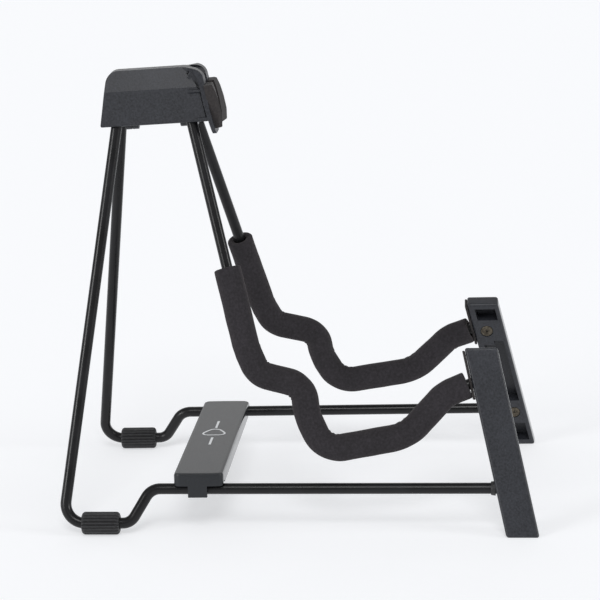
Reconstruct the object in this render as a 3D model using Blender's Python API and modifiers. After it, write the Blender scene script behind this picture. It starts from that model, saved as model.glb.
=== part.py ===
"""Fold-flat A-frame guitar stand: two bent-rod side frames hinged at a moulded head."""
import math

import bmesh
import bpy
from mathutils import Matrix, Vector

# ---- driving dimensions, metres -------------------------------------------------------
MM = 0.001
GAP = 0.3 * MM                     # running gap between neighbouring pieces

SPLAY = math.radians(17.5)         # lean of each side frame away from the middle plane
RISE = math.radians(2.5)           # the hinge line climbs this much towards the front
FLOOR_DROP = 337.5 * MM            # apex line to floor, measured down a side frame

ROD_R = 4.0 * MM
FOAM_R = 9.8 * MM
FOOT_R = 8.25 * MM
FOOT_RIBS = 20
FOOT_RIB_DEPTH = 0.7 * MM

RAIL_DROP = 304.1 * MM             # level lower rail, below the apex line
REAR_CORNER = 14.4 * MM            # how far forward of the apex point the rear corner lies
FOOT_SPAN = (28.5 * MM, 56.0 * MM)
LENGTH_TRIM = 0.284 * MM           # evens out the rounded rear bend and the bevelled posts

POST_TOP_DROP = 204.0 * MM
POST_TOP_REAR = 305.7 * MM
POST_WIDTH = 23.6 * MM
POST_LEAN = 0.2134                 # forward travel for each unit of drop
POST_OUTER = 6.5 * MM
POST_INNER = -5.5 * MM
POST_BEVEL = 1.4 * MM
POCKET_DEPTH = 5.0 * MM
POCKET_REAR_WALL = 5.0 * MM
POCKET_FRONT_WALL = 3.2 * MM
POCKETS = ((208.5 * MM, 218.5 * MM), (238.0 * MM, 293.5 * MM), (315.0 * MM, 331.0 * MM))
POST_PAD_SPAN = (206.0 * MM, 241.0 * MM)
POST_PAD_THICK = 1.8 * MM
POST_SCREWS = {"upper": (320.7 * MM, 228.5 * MM), "lower": (341.2 * MM, 304.8 * MM)}

HEAD_TOP = 2.0 * MM
HEAD_BOTTOM = 40.5 * MM
HEAD_REAR = 41.0 * MM
HEAD_FRONT = 121.5 * MM
MID_GAP = 0.2 * MM                 # each head half stops this far from the middle plane
COVER_THICK = 2.0 * MM
CAVITY_SPAN = (50.0 * MM, 112.0 * MM)
INNER_THINNING = 0.3               # share of the pad's thickness lost at its inner edge
HINGE_DROP = 42.0 * MM
HINGE_PIN_R = 2.0 * MM
HINGE_SPAN = (50.0 * MM, 112.0 * MM)
KNUCKLE_R = 4.3 * MM
KNUCKLE_SEAT_R = 4.8 * MM
KNUCKLE_WIDTH = 4.6 * MM
KNUCKLES = (57.0 * MM, 97.4 * MM)  # rear end of each left knuckle; the right one follows it
COVER_SCREWS = {"upper": (72.0 * MM, 13.0 * MM), "lower": (80.0 * MM, 32.0 * MM)}
BOSS_LENGTHS = {"upper": 6.5 * MM, "lower": 13.0 * MM}

BAR_FRONT = 131.0 * MM
BAR_REAR = 95.0 * MM
BAR_LEFT_TOP = 45.6 * MM           # height of the crossbar's top face over the left rail
BAR_RIGHT_TOP = 38.7 * MM
BAR_HALF_LENGTH = 99.6 * MM
BAR_DEPTH = 9.5 * MM
BAR_WALL = 2.0 * MM
HOOK_WIDTH = 14.0 * MM
HOOK_CENTRE = 112.2 * MM
SWING_TILT = math.radians(4.5)     # the swing axis is turned this much from straight ahead

# ---- directions of one side frame -----------------------------------------------------
TOE_OUT = math.atan(math.tan(SPLAY) * math.sin(RISE))
OUT_UP = math.sin(SPLAY) * math.cos(RISE)
DOWN_Z = math.sqrt(1 - OUT_UP ** 2)
POST_FOOT_FRONT = (POST_TOP_REAR + POST_WIDTH
                   + POST_LEAN * (FLOOR_DROP - POST_TOP_DROP))
APEX = Vector((0, (REAR_CORNER - ROD_R + POST_FOOT_FRONT) / 2 - LENGTH_TRIM,
               FLOOR_DROP * DOWN_Z))
FOOT_DROP = FLOOR_DROP - FOOT_R / DOWN_Z

# The rod's corners as (forward, down), from the post's upper hole round to its lower one.
ARM_CORNERS = [((291.5, 237.0), 22), ((264.5, 266.5), 34), ((204.6, 277.0), 18),
               ((192.3, 251.4), 38), ((189.8, 230.1), 25), ((156.6, 221.5), 15),
               ((148.7, 203.2), 40)]
ROD_UPPER_END = (316.0, 226.9)
FOAM_FRONT_END = (306.8, 230.7)
FOAM_TOP_END = (134.9, 146.0)
HEAD_CORNERS = [((105.0, 21.0), 12), ((56.6, 21.0), 12)]
ROD_LOWER_END = 336.0 * MM
LEG_CORNER_R = 14 * MM
FOOT_CORNER = (63.9 * MM, 10 * MM)
RAIL_CORNER = (78.8 * MM, 12 * MM)


# ---- frames of reference --------------------------------------------------------------
def side_matrix(side):
    """Local axes of a side frame: x across it to the right, -y level forward, -z down it."""
    across = Vector((math.cos(SPLAY), side * math.sin(SPLAY) * math.sin(RISE),
                     side * OUT_UP))
    forward = Vector((side * math.sin(TOE_OUT), -math.cos(TOE_OUT), 0))
    up = across.cross(-forward)
    matrix = Matrix((across, -forward, up)).transposed().to_4x4()
    matrix.translation = APEX
    return matrix


def head_matrix():
    """Local axes of the head: x to the right, -y along the hinge line, -z square below it."""
    return Matrix.Translation(APEX) @ Matrix.Rotation(-RISE, 4, 'X')


def on_side(forward, down, out=0.0, side=1):
    return Vector((side * out, -forward, -down))


def on_head(along, drop, x=0.0):
    return Vector((x, -along, -drop))


# ---- small makers ---------------------------------------------------------------------
def clear_scene():
    for item in list(bpy.data.objects):
        bpy.data.objects.remove(item, do_unlink=True)


def material(name, colour, roughness, metallic=0.0):
    found = bpy.data.materials.get(name)
    if found:
        return found
    made = bpy.data.materials.new(name)
    made.use_nodes = True
    shader = made.node_tree.nodes["Principled BSDF"]
    shader.inputs["Base Color"].default_value = (*colour, 1)
    shader.inputs["Roughness"].default_value = roughness
    shader.inputs["Metallic"].default_value = metallic
    made.diffuse_color = (*colour, 1)
    return made


def collection(name):
    found = bpy.data.collections.get(name)
    if not found:
        found = bpy.data.collections.new(name)
        bpy.context.scene.collection.children.link(found)
    return found


def add_object(name, data, matrix, surface=None):
    item = bpy.data.objects.new(name, data)
    item.matrix_world = matrix
    if surface:
        data.materials.append(surface)
        collection("guitar_stand").objects.link(item)
    else:
        item.hide_render = True
        item.display_type = 'WIRE'
        collection("cutters").objects.link(item)
    return item


def mesh_from(name, bm):
    bmesh.ops.recalc_face_normals(bm, faces=bm.faces)
    mesh = bpy.data.meshes.new(name)
    bm.to_mesh(mesh)
    bm.free()
    mesh.shade_smooth()
    mesh.set_sharp_from_angle(angle=math.radians(35))
    return mesh


def prism(name, outline, travel):
    """A flat outline of 3-D points pushed along a vector."""
    bm = bmesh.new()
    face = bm.faces.new([bm.verts.new(point) for point in outline])
    pushed = bmesh.ops.extrude_face_region(bm, geom=[face])
    moved = [v for v in pushed["geom"] if isinstance(v, bmesh.types.BMVert)]
    bmesh.ops.translate(bm, vec=travel, verts=moved)
    return mesh_from(name, bm)


def cylinder(name, start, end, radius, end_radius=None, segments=24):
    """A cylinder or cone between two local points."""
    bm = bmesh.new()
    run = end - start
    bmesh.ops.create_cone(bm, cap_ends=True, segments=segments, radius1=radius,
                          radius2=radius if end_radius is None else end_radius,
                          depth=run.length)
    turn = Vector((0, 0, 1)).rotation_difference(run).to_matrix().to_4x4()
    place = Matrix.Translation((start + end) / 2) @ turn
    bmesh.ops.transform(bm, matrix=place, verts=bm.verts)
    return mesh_from(name, bm)


def combine(item, name, mesh, matrix, operation):
    cutter = add_object(name, mesh, matrix)
    step = item.modifiers.new(name, 'BOOLEAN')
    step.operation = operation
    step.solver = 'EXACT'
    step.object = cutter


def rounded_path(corners, steps=5):
    """Points along straight runs joined by arcs; corners are ((forward, down), radius)."""
    path = [Vector(corners[0][0])]
    for before, here, after in zip(corners, corners[1:], corners[2:]):
        corner = Vector(here[0])
        back = Vector(before[0]) - corner
        ahead = Vector(after[0]) - corner
        half = back.angle(ahead) / 2
        reach = min(here[1] / math.tan(half), 0.49 * back.length, 0.49 * ahead.length)
        radius = reach * math.tan(half)
        bisector = (back.normalized() + ahead.normalized()).normalized()
        centre = corner + bisector * (radius / math.sin(half))
        first = corner + back.normalized() * reach - centre
        last = corner + ahead.normalized() * reach - centre
        sweep = first.angle_signed(last)
        for step in range(steps + 1):
            turn = Matrix.Rotation(-sweep * step / steps, 2)
            path.append(centre + turn @ first)
    path.append(Vector(corners[-1][0]))
    return path


def in_metres(corners):
    return [((point[0] * MM, point[1] * MM), radius * MM) for point, radius in corners]


def tube_curve(name, path, radius, side, sides_level, caps=True):
    curve = bpy.data.curves.new(name, 'CURVE')
    curve.dimensions = '3D'
    curve.bevel_depth = radius
    curve.bevel_resolution = sides_level
    curve.use_fill_caps = caps
    spline = curve.splines.new('POLY')
    spline.points.add(len(path) - 1)
    for point, (forward, down) in zip(spline.points, path):
        point.co = (*on_side(forward, down, 0, side), 1)
    return curve


def curve_to_mesh(name, curve):
    """The tube as a closed mesh, so that it can be cut."""
    holder = bpy.data.objects.new(name, curve)
    bpy.context.scene.collection.objects.link(holder)
    graph = bpy.context.evaluated_depsgraph_get()
    mesh = bpy.data.meshes.new_from_object(holder.evaluated_get(graph))
    bpy.data.objects.remove(holder, do_unlink=True)
    bm = bmesh.new()
    bm.from_mesh(mesh)
    bmesh.ops.remove_doubles(bm, verts=bm.verts, dist=0.01 * MM)
    bpy.data.meshes.remove(mesh)
    return mesh_from(name, bm)


# ---- sub-parts of one side ------------------------------------------------------------
def rod_corners():
    foot = [((REAR_CORNER, FOOT_DROP), LEG_CORNER_R),
            ((FOOT_CORNER[0], FOOT_DROP), FOOT_CORNER[1]),
            ((RAIL_CORNER[0], RAIL_DROP), RAIL_CORNER[1])]
    ends = in_metres([(ROD_UPPER_END, 0)]), [((ROD_LOWER_END, RAIL_DROP), 0)]
    return ends[0] + in_metres(ARM_CORNERS + HEAD_CORNERS) + foot + ends[1]


def make_rod(label, side):
    """One rod bent into the cradle arm, the head loop, the rear leg, the foot and the rail."""
    curve = tube_curve("rod", rounded_path(rod_corners()), ROD_R, side, 2)
    mesh = curve_to_mesh("side_rod", curve)
    add_object("side_rod_" + label, mesh, side_matrix(side),
               material("black_steel", (0.012, 0.012, 0.013), 0.4, 0.3))


def make_foam(label, side):
    corners = in_metres([(FOAM_FRONT_END, 0)] + ARM_CORNERS + [(FOAM_TOP_END, 0)])
    curve = tube_curve("foam", rounded_path(corners, 6), FOAM_R, side, 3, caps=False)
    item = add_object("arm_foam_" + label, curve_to_mesh("arm_foam", curve),
                      side_matrix(side), material("foam", (0.02, 0.018, 0.018), 0.95))
    wall = item.modifiers.new("wall", 'SOLIDIFY')
    wall.thickness = FOAM_R - ROD_R - GAP
    wall.offset = -1


def make_foot(label, side):
    """A lengthwise ribbed rubber sleeve round the rod's foot run."""
    bm = bmesh.new()
    outer = bmesh.ops.create_circle(bm, segments=2 * FOOT_RIBS, radius=FOOT_R)["verts"]
    for vert in outer[1::2]:
        vert.co *= 1 - FOOT_RIB_DEPTH / FOOT_R
    bmesh.ops.create_circle(bm, segments=2 * FOOT_RIBS, radius=ROD_R + GAP)
    bmesh.ops.bridge_loops(bm, edges=bm.edges)
    pushed = bmesh.ops.extrude_face_region(bm, geom=bm.faces)
    moved = [v for v in pushed["geom"] if isinstance(v, bmesh.types.BMVert)]
    bmesh.ops.translate(bm, vec=(0, 0, FOOT_SPAN[1] - FOOT_SPAN[0]), verts=moved)
    # A rib, not a groove, points at the floor.
    square_up = Matrix.Rotation(side * SPLAY, 4, 'Y')
    lay_down = square_up @ Matrix.Rotation(math.radians(90), 4, 'X')
    place = Matrix.Translation(on_side(FOOT_SPAN[0], FOOT_DROP)) @ lay_down
    bmesh.ops.transform(bm, matrix=place, verts=bm.verts)
    add_object("rear_foot_" + label, mesh_from("rear_foot", bm), side_matrix(side),
               material("rubber", (0.02, 0.02, 0.021), 0.8))


def post_rear(down):
    return POST_TOP_REAR + POST_LEAN * (down - POST_TOP_DROP)


def floor_drop(out):
    """Drop at which a point this far out of the frame's plane meets the floor."""
    return FLOOR_DROP + out * OUT_UP / DOWN_Z


def post_block(side):
    bm = bmesh.new()
    bmesh.ops.create_cube(bm, size=1)
    for vert in bm.verts:
        out = POST_OUTER if vert.co.x > 0 else POST_INNER
        down = POST_TOP_DROP if vert.co.z > 0 else floor_drop(out)
        forward = post_rear(down) + (POST_WIDTH if vert.co.y > 0 else 0)
        vert.co = on_side(forward, down, out, side)
    return mesh_from("front_post", bm)


def pocket(side, top, bottom):
    rear, front = POCKET_REAR_WALL, POST_WIDTH - POCKET_FRONT_WALL
    corners = [(top, rear), (top, front), (bottom, front), (bottom, rear)]
    start = POST_INNER - 1 * MM
    outline = [on_side(post_rear(down) + across, down, start, side)
               for down, across in corners]
    return prism("pocket", outline, (side * (POCKET_DEPTH + 1 * MM), 0, 0))


def upper_hole_axis(side):
    """Start outside the post and end just past the rod's end."""
    inner = Vector(ROD_UPPER_END) * MM
    outer = Vector(ARM_CORNERS[0][0]) * MM
    run = (inner - outer).normalized()
    end = inner + run * GAP
    return on_side(*outer, 0, side), on_side(*end, 0, side)


def make_post(label, side):
    place = side_matrix(side)
    item = add_object("front_post_" + label, post_block(side), place,
                      material("post_plastic", (0.055, 0.06, 0.066), 0.6))
    edge = item.modifiers.new("edge", 'BEVEL')
    edge.width = POST_BEVEL
    edge.segments = 2
    edge.limit_method = 'ANGLE'
    for number, (top, bottom) in enumerate(POCKETS):
        combine(item, f"pocket_{label}_{number}", pocket(side, top, bottom), place,
                'DIFFERENCE')
    start, end = upper_hole_axis(side)
    combine(item, "upper_hole_" + label, cylinder("hole", start, end, ROD_R + GAP), place,
            'DIFFERENCE')
    start = on_side(ROD_LOWER_END - 30 * MM, RAIL_DROP)
    end = on_side(ROD_LOWER_END + GAP, RAIL_DROP)
    combine(item, "lower_hole_" + label, cylinder("hole", start, end, ROD_R + GAP), place,
            'DIFFERENCE')
    for level, (forward, down) in POST_SCREWS.items():
        seat = screw_body("seat", side, forward, down, GAP)
        combine(item, f"seat_{level}_{label}", seat, place, 'DIFFERENCE')


def screw_body(name, side, forward, down, grow=0.0):
    """A countersunk screw driven outwards from the post's inner face."""
    head_r, head_depth = 4.5 * MM + grow, 2.4 * MM
    shank_r, length = 1.9 * MM + grow, 8.5 * MM + grow
    face = -(1.0 * MM) if grow else 0.15 * MM
    profile = [(0, face), (head_r, face), (head_r, 0.4 * MM), (shank_r, head_depth),
               (shank_r, length), (0, length)]
    bm = bmesh.new()
    verts = [bm.verts.new((radius, 0, depth)) for radius, depth in profile]
    edges = [bm.edges.new(pair) for pair in zip(verts, verts[1:])]
    bmesh.ops.spin(bm, geom=verts + edges, cent=(0, 0, 0), axis=(0, 0, 1),
                   angle=math.tau, steps=20, use_merge=True)
    bmesh.ops.remove_doubles(bm, verts=bm.verts, dist=0.01 * MM)
    turn = Matrix.Rotation(side * math.radians(90), 4, 'Y')
    place = Matrix.Translation(on_side(forward, down, POST_INNER, side)) @ turn
    bmesh.ops.transform(bm, matrix=place, verts=bm.verts)
    return mesh_from(name, bm)


def make_post_screws(label, side):
    for level, (forward, down) in POST_SCREWS.items():
        mesh = screw_body("post_screw", side, forward, down)
        add_object(f"post_screw_{level}_{label}", mesh, side_matrix(side),
                   material("zinc", (0.16, 0.15, 0.13), 0.45, 0.8))


def make_post_pad(label, side):
    """A thin rubber strip on the post's rear edge, which the padded arm passes through."""
    place = side_matrix(side)
    top, bottom = POST_PAD_SPAN
    front, rear = -GAP, -GAP - POST_PAD_THICK
    corners = [(top, rear), (top, front), (bottom, front), (bottom, rear)]
    outline = [on_side(post_rear(down) + across, down, POST_INNER + 0.6 * MM, side)
               for down, across in corners]
    width = POST_OUTER - POST_INNER - 1.2 * MM
    item = add_object("post_pad_" + label, prism("post_pad", outline, (side * width, 0, 0)),
                      place, material("pad_rubber", (0.03, 0.028, 0.027), 0.85))
    start, end = upper_hole_axis(side)
    combine(item, "pad_hole_" + label, cylinder("hole", start, end, ROD_R + GAP), place,
            'DIFFERENCE')


# ---- head -----------------------------------------------------------------------------
def head_section(side):
    """Cross-section of one head half as (x, drop), from the middle plane outwards."""
    return [(side * x, drop) for x, drop in (
        (MID_GAP, HEAD_TOP), (4.5 * MM, HEAD_TOP), (12.3 * MM, 16.0 * MM),
        (20.1 * MM, HEAD_BOTTOM), (MID_GAP, HEAD_BOTTOM))]


def head_outline(x):
    """Side view of a head half with rounded upper corners."""
    corners = [((HEAD_REAR, HEAD_BOTTOM), 0), ((47.2 * MM, HEAD_TOP), 9 * MM),
               ((116.4 * MM, HEAD_TOP), 16 * MM), ((HEAD_FRONT, HEAD_BOTTOM), 0)]
    return [on_head(along, drop, x) for along, drop in rounded_path(corners, 6)]


def flange_outline(x):
    """Side view of the thin front flange, whose ears curl back over the head's top."""
    outer = in_metres([((105.0, 2.6), 0), ((118.6, 2.6), 13), ((121.2, 18.0), 20),
                       ((125.6, 49.5), 0)])
    inner = in_metres([((105.0, 5.8), 0), ((115.2, 5.8), 9.8), ((117.4, 18.0), 20),
                       ((122.6, 49.5), 0)])
    path = rounded_path(outer, 6) + rounded_path(inner, 6)[::-1]
    return [on_head(along, drop, x) for along, drop in path]


def flange_front(side):
    """Front view of the flange: an ear above, its foot outside the wedge that folding closes."""
    return [(side * x * MM, drop * MM) for x, drop in (
        (8.0, 2.0), (13.2, 2.0), (15.8, 16.0), (21.8, 41.0), (21.8, 46.0), (19.5, 49.0),
        (16.0, 50.5), (7.0, 50.5), (4.2, 49.6), (3.4, 47.5), (3.4, 18.0))]


def ear_web(side):
    """The wall that carries the ear, set back under its outer edge."""
    corners = [(103.5, 8.0), (106.0, 5.2), (113.0, 5.0), (117.2, 9.5), (118.8, 18.0),
               (108.0, 14.0)]
    return [on_head(along * MM, drop * MM, side * 5.5 * MM) for along, drop in corners]


def head_prism(name, section, start, end):
    outline = [on_head(start, drop, x) for x, drop in section]
    return prism(name, outline, (0, start - end, 0))


def make_head_shell(label, side):
    place = head_matrix()
    body = prism("head_body", head_outline(side * -1 * MM), (side * 26 * MM, 0, 0))
    item = add_object("head_shell_" + label, body, place,
                      material("head_plastic", (0.05, 0.055, 0.061), 0.6))
    section = head_prism("section", head_section(side), 30 * MM, 130 * MM)
    combine(item, "head_section_" + label, section, place, 'INTERSECT')
    flange = prism("flange", flange_outline(side * -1 * MM), (side * 26 * MM, 0, 0))
    flange_item = add_object("flange_" + label, flange, place)
    front = head_prism("flange_front", flange_front(side), 100 * MM, 135 * MM)
    combine(flange_item, "flange_front_" + label, front, place, 'INTERSECT')
    join = item.modifiers.new("flange", 'BOOLEAN')
    join.operation = 'UNION'
    join.object = flange_item
    combine(item, "ear_web_" + label, prism("ear_web", ear_web(side), (side * 4 * MM, 0, 0)),
            place, 'UNION')
    cavity = [(side * x * MM, drop * MM) for x, drop in (
        (-1.0, 8.0), (5.2, 8.0), (10.1, 16.4), (16.9, 37.1), (-1.0, 37.1))]
    combine(item, "cavity_" + label,
            head_prism("cavity", cavity, *CAVITY_SPAN), place, 'DIFFERENCE')
    for level, (along, drop) in COVER_SCREWS.items():
        inner = side * (MID_GAP + COVER_THICK + GAP)
        wall = inner + side * BOSS_LENGTHS[level]
        boss = cylinder("boss", on_head(along, drop, inner), on_head(along, drop, wall),
                        3 * MM)
        combine(item, f"boss_{level}_{label}", boss, place, 'UNION')
    cut_rod_exits(item, label, side)
    add_knuckles(item, label, side)
    for level, (along, drop) in COVER_SCREWS.items():
        hole = cover_screw_body("hole", side, along, drop, GAP)
        combine(item, f"cover_hole_{level}_{label}", hole, place, 'DIFFERENCE')


def cut_rod_exits(item, label, side):
    """Clearance for the rod's two runs through the head's floor."""
    place = side_matrix(side)
    loop_top, loop_rear = (Vector(point) * MM for point, _ in HEAD_CORNERS)
    arm = Vector(ARM_CORNERS[-1][0]) * MM
    leg = Vector((REAR_CORNER, FOOT_DROP))
    for name, top, bottom in (("arm", loop_top, arm), ("leg", loop_rear, leg)):
        run = (bottom - top).normalized()
        start = top + run * (5 * MM)
        end = top + run * (45 * MM)
        hole = cylinder("exit", on_side(*start, 0, side), on_side(*end, 0, side),
                        ROD_R + GAP)
        combine(item, f"{name}_exit_{label}", hole, place, 'DIFFERENCE')


def add_knuckles(item, label, side):
    place = head_matrix()
    seat = cylinder("seat", on_head(30 * MM, HINGE_DROP), on_head(140 * MM, HINGE_DROP),
                    KNUCKLE_SEAT_R, segments=32)
    combine(item, "hinge_seat_" + label, seat, place, 'DIFFERENCE')
    for number, rear in enumerate(KNUCKLES):
        start = rear if side < 0 else rear + KNUCKLE_WIDTH + 0.4 * MM
        end = start + KNUCKLE_WIDTH
        knuckle = cylinder("knuckle", on_head(start, HINGE_DROP), on_head(end, HINGE_DROP),
                           KNUCKLE_R, segments=32)
        web = [(side * x * MM, drop * MM) for x, drop in (
            (0.6, 38.2), (6.5, 38.2), (6.5, 40.0), (2.5, 44.5))]
        web_mesh = head_prism("web", web, start, end)
        combine(item, f"knuckle_{number}_{label}", knuckle, place, 'UNION')
        combine(item, f"web_{number}_{label}", web_mesh, place, 'UNION')
    bore = cylinder("bore", on_head(30 * MM, HINGE_DROP), on_head(140 * MM, HINGE_DROP),
                    HINGE_PIN_R + GAP, segments=32)
    combine(item, "hinge_bore_" + label, bore, place, 'DIFFERENCE')


def cover_screw_body(name, side, along, drop, grow=0.0):
    """A small countersunk screw driven outwards through the head's inner cover."""
    start = MID_GAP + 0.3 * MM
    face = start - (1 * MM if grow else 0)
    head_end, tip = start + 1.4 * MM, start + 6.0 * MM + grow
    profile = [(0, face), (2.6 * MM + grow, face), (2.6 * MM + grow, start),
               (1.3 * MM + grow, head_end), (1.3 * MM + grow, tip), (0, tip)]
    bm = bmesh.new()
    verts = [bm.verts.new((radius, 0, depth)) for radius, depth in profile]
    edges = [bm.edges.new(pair) for pair in zip(verts, verts[1:])]
    bmesh.ops.spin(bm, geom=verts + edges, cent=(0, 0, 0), axis=(0, 0, 1),
                   angle=math.tau, steps=16, use_merge=True)
    bmesh.ops.remove_doubles(bm, verts=bm.verts, dist=0.01 * MM)
    turn = Matrix.Rotation(side * math.radians(90), 4, 'Y')
    bmesh.ops.transform(bm, matrix=Matrix.Translation(on_head(along, drop)) @ turn,
                        verts=bm.verts)
    return mesh_from(name, bm)


def make_head_cover(label, side):
    """The flat plate that closes a head half at the middle plane."""
    place = head_matrix()
    rear, front = CAVITY_SPAN[0] + GAP, CAVITY_SPAN[1] - GAP
    corners = [(rear, 8.3 * MM), (front, 8.3 * MM), (front, 36.8 * MM), (rear, 36.8 * MM)]
    outline = [on_head(along, drop, side * MID_GAP) for along, drop in corners]
    item = add_object("head_cover_" + label,
                      prism("head_cover", outline, (side * COVER_THICK, 0, 0)), place,
                      material("head_plastic", (0.05, 0.055, 0.061), 0.6))
    for level, (along, drop) in COVER_SCREWS.items():
        mesh = cover_screw_body("cover_hole", side, along, drop, GAP)
        combine(item, f"plate_hole_{level}_{label}", mesh, place, 'DIFFERENCE')
        screw = cover_screw_body("cover_screw", side, along, drop)
        add_object(f"cover_screw_{level}_{label}", screw, place,
                   material("zinc", (0.16, 0.15, 0.13), 0.45, 0.8))


def make_head_pad(label, side):
    """The rubber bumper on the front flange, thinner towards the middle plane."""
    inner, outer, back = 4.0 * MM, 18.0 * MM, 122.2 * MM
    face = [((121.3, 13.6), 0), ((124.6, 13.0), 1.5), ((129.2, 28.0), 20),
            ((131.0, 37.0), 20), ((130.0, 46.3), 2), ((125.6, 46.3), 0)]
    path = rounded_path(in_metres(face), 4)
    outline = [on_head(along, drop, side * inner) for along, drop in path]
    mesh = prism("head_pad", outline, (side * (outer - inner), 0, 0))
    for vert in mesh.vertices:
        proud = -vert.co.y - back
        if abs(vert.co.x) < outer - 1 * MM and proud > 4 * MM:
            vert.co.y += INNER_THINNING * proud
    add_object("head_pad_" + label, mesh, head_matrix(),
               material("pad_rubber", (0.03, 0.028, 0.027), 0.85))


def make_hinge_pin():
    start, end = HINGE_SPAN
    mesh = cylinder("hinge_pin", on_head(start, HINGE_DROP), on_head(end, HINGE_DROP),
                    HINGE_PIN_R, segments=24)
    steel = material("pin_steel", (0.25, 0.25, 0.26), 0.35, 1.0)
    add_object("hinge_pin", mesh, head_matrix(), steel)
    for name, along in (("rear", start + 1.5 * MM), ("front", end - 2.5 * MM)):
        ring = cylinder("ring", on_head(along, HINGE_DROP),
                        on_head(along + 1 * MM, HINGE_DROP), 3.6 * MM)
        clip = add_object("pin_clip_" + name, ring, head_matrix(), steel)
        bore = cylinder("ring_bore", on_head(along - 2 * MM, HINGE_DROP),
                        on_head(along + 3 * MM, HINGE_DROP), HINGE_PIN_R + GAP)
        combine(clip, "clip_bore_" + name, bore, head_matrix(), 'DIFFERENCE')


# ---- crossbar -------------------------------------------------------------------------
def rail_point(side, forward):
    return side_matrix(side) @ on_side(forward, RAIL_DROP)


def bar_matrix():
    """Local axes of the crossbar: x along its top face to the right, -y forward, z out of it."""
    slope = math.atan2(BAR_LEFT_TOP - BAR_RIGHT_TOP, 2 * BAR_HALF_LENGTH)
    centre = Vector((0, APEX.y, (BAR_LEFT_TOP + BAR_RIGHT_TOP) / 2))
    return Matrix.Translation(centre) @ Matrix.Rotation(slope, 4, 'Y')


def bar_box(name, x, forward, z):
    """A box between pairs of local bounds of the crossbar."""
    outline = [Vector((x[0], -forward[0], z[0])), Vector((x[1], -forward[0], z[0])),
               Vector((x[1], -forward[0], z[1])), Vector((x[0], -forward[0], z[1]))]
    return prism(name, outline, (0, forward[0] - forward[1], 0))


def make_crossbar():
    """An upside-down tray over both rails, with a hook round each rail."""
    place = bar_matrix()
    half, deep, wall = BAR_HALF_LENGTH, BAR_DEPTH, BAR_WALL
    item = add_object("crossbar",
                      bar_box("crossbar", (-half, half), (BAR_REAR, BAR_FRONT), (-deep, 0)),
                      place, material("bar_plastic", (0.05, 0.055, 0.061), 0.5))
    edge = item.modifiers.new("edge", 'BEVEL')
    edge.width = 1.2 * MM
    edge.segments = 2
    edge.limit_method = 'ANGLE'
    hollow = bar_box("hollow", (wall - half, half - wall),
                     (BAR_REAR + wall, BAR_FRONT - wall), (-deep - 5 * MM, -wall))
    combine(item, "bar_hollow", hollow, place, 'DIFFERENCE')
    hook = (HOOK_CENTRE - HOOK_WIDTH / 2, HOOK_CENTRE + HOOK_WIDTH / 2)
    for label, side in (("left", -1), ("right", 1)):
        rail = place.inverted() @ rail_point(side, HOOK_CENTRE)
        start = place.inverted() @ rail_point(side, 60 * MM)
        end = place.inverted() @ rail_point(side, 170 * MM)
        slack = 2.4 * MM if side < 0 else 0.6 * MM
        notch = cylinder("notch", start, end, ROD_R + slack)
        tall = bar_box("notch_mouth", (rail.x - 9 * MM, rail.x + ROD_R + slack),
                       (60 * MM, 170 * MM), (-deep - 9 * MM, rail.z))
        combine(item, "rail_notch_" + label, notch, place, 'DIFFERENCE')
        if side > 0:
            combine(item, "rail_mouth_" + label, tall, place, 'DIFFERENCE')
        add_hook(item, label, side, rail, hook)


def add_hook(item, label, side, rail, hook):
    """The tongue that drops outside a rail, and its lip under the rail."""
    place = bar_matrix()
    near, far = rail.x + side * 4.9 * MM, rail.x + side * 6.7 * MM
    foot = rail.z - ROD_R - 1.3 * MM
    tongue = bar_box("tongue", sorted((near, far)), hook, (foot, -0.8 * MM))
    lip = bar_box("lip", sorted((rail.x + side * 2.6 * MM, far)), hook,
                  (foot, rail.z - ROD_R - 0.4 * MM))
    combine(item, "tongue_" + label, tongue, place, 'UNION')
    combine(item, "lip_" + label, lip, place, 'UNION')


# ---- assembly -------------------------------------------------------------------------
def add_joint_empty(name, location, direction):
    """An empty on a joint's axis, its z along the axis."""
    empty = bpy.data.objects.new(name, None)
    turn = Vector((0, 0, 1)).rotation_difference(direction)
    empty.matrix_world = Matrix.Translation(location) @ turn.to_matrix().to_4x4()
    collection("guitar_stand").objects.link(empty)
    return empty


def hang_on(empty, names):
    for name in names:
        child = bpy.data.objects[name]
        world = child.matrix_world.copy()
        child.parent = empty
        child.matrix_parent_inverse = empty.matrix_world.inverted()
        child.matrix_world = world


def main():
    clear_scene()
    for label, side in (("left", -1), ("right", 1)):
        make_rod(label, side)
        make_foam(label, side)
        make_foot(label, side)
        make_post(label, side)
        make_post_screws(label, side)
        make_post_pad(label, side)
        make_head_shell(label, side)
        make_head_cover(label, side)
        make_head_pad(label, side)
    make_hinge_pin()
    make_crossbar()
    bpy.context.view_layer.update()
    hinge_line = Vector((0, -math.cos(RISE), math.sin(RISE)))
    hinge_point = head_matrix() @ on_head(HEAD_REAR, HINGE_DROP)
    swing_line = Vector((-math.sin(SWING_TILT), -math.cos(SWING_TILT), 0))
    fold = add_joint_empty("fold_axis", hinge_point, hinge_line)
    swing = add_joint_empty("swing_axis", rail_point(-1, HOOK_CENTRE), swing_line)
    parts = collection("guitar_stand").objects
    hang_on(fold, [part.name for part in parts if part.name.endswith("_right")])
    hang_on(swing, ["crossbar"])


main()
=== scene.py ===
import math

import bmesh
import bpy
from mathutils import Matrix, Vector, noise


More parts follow.
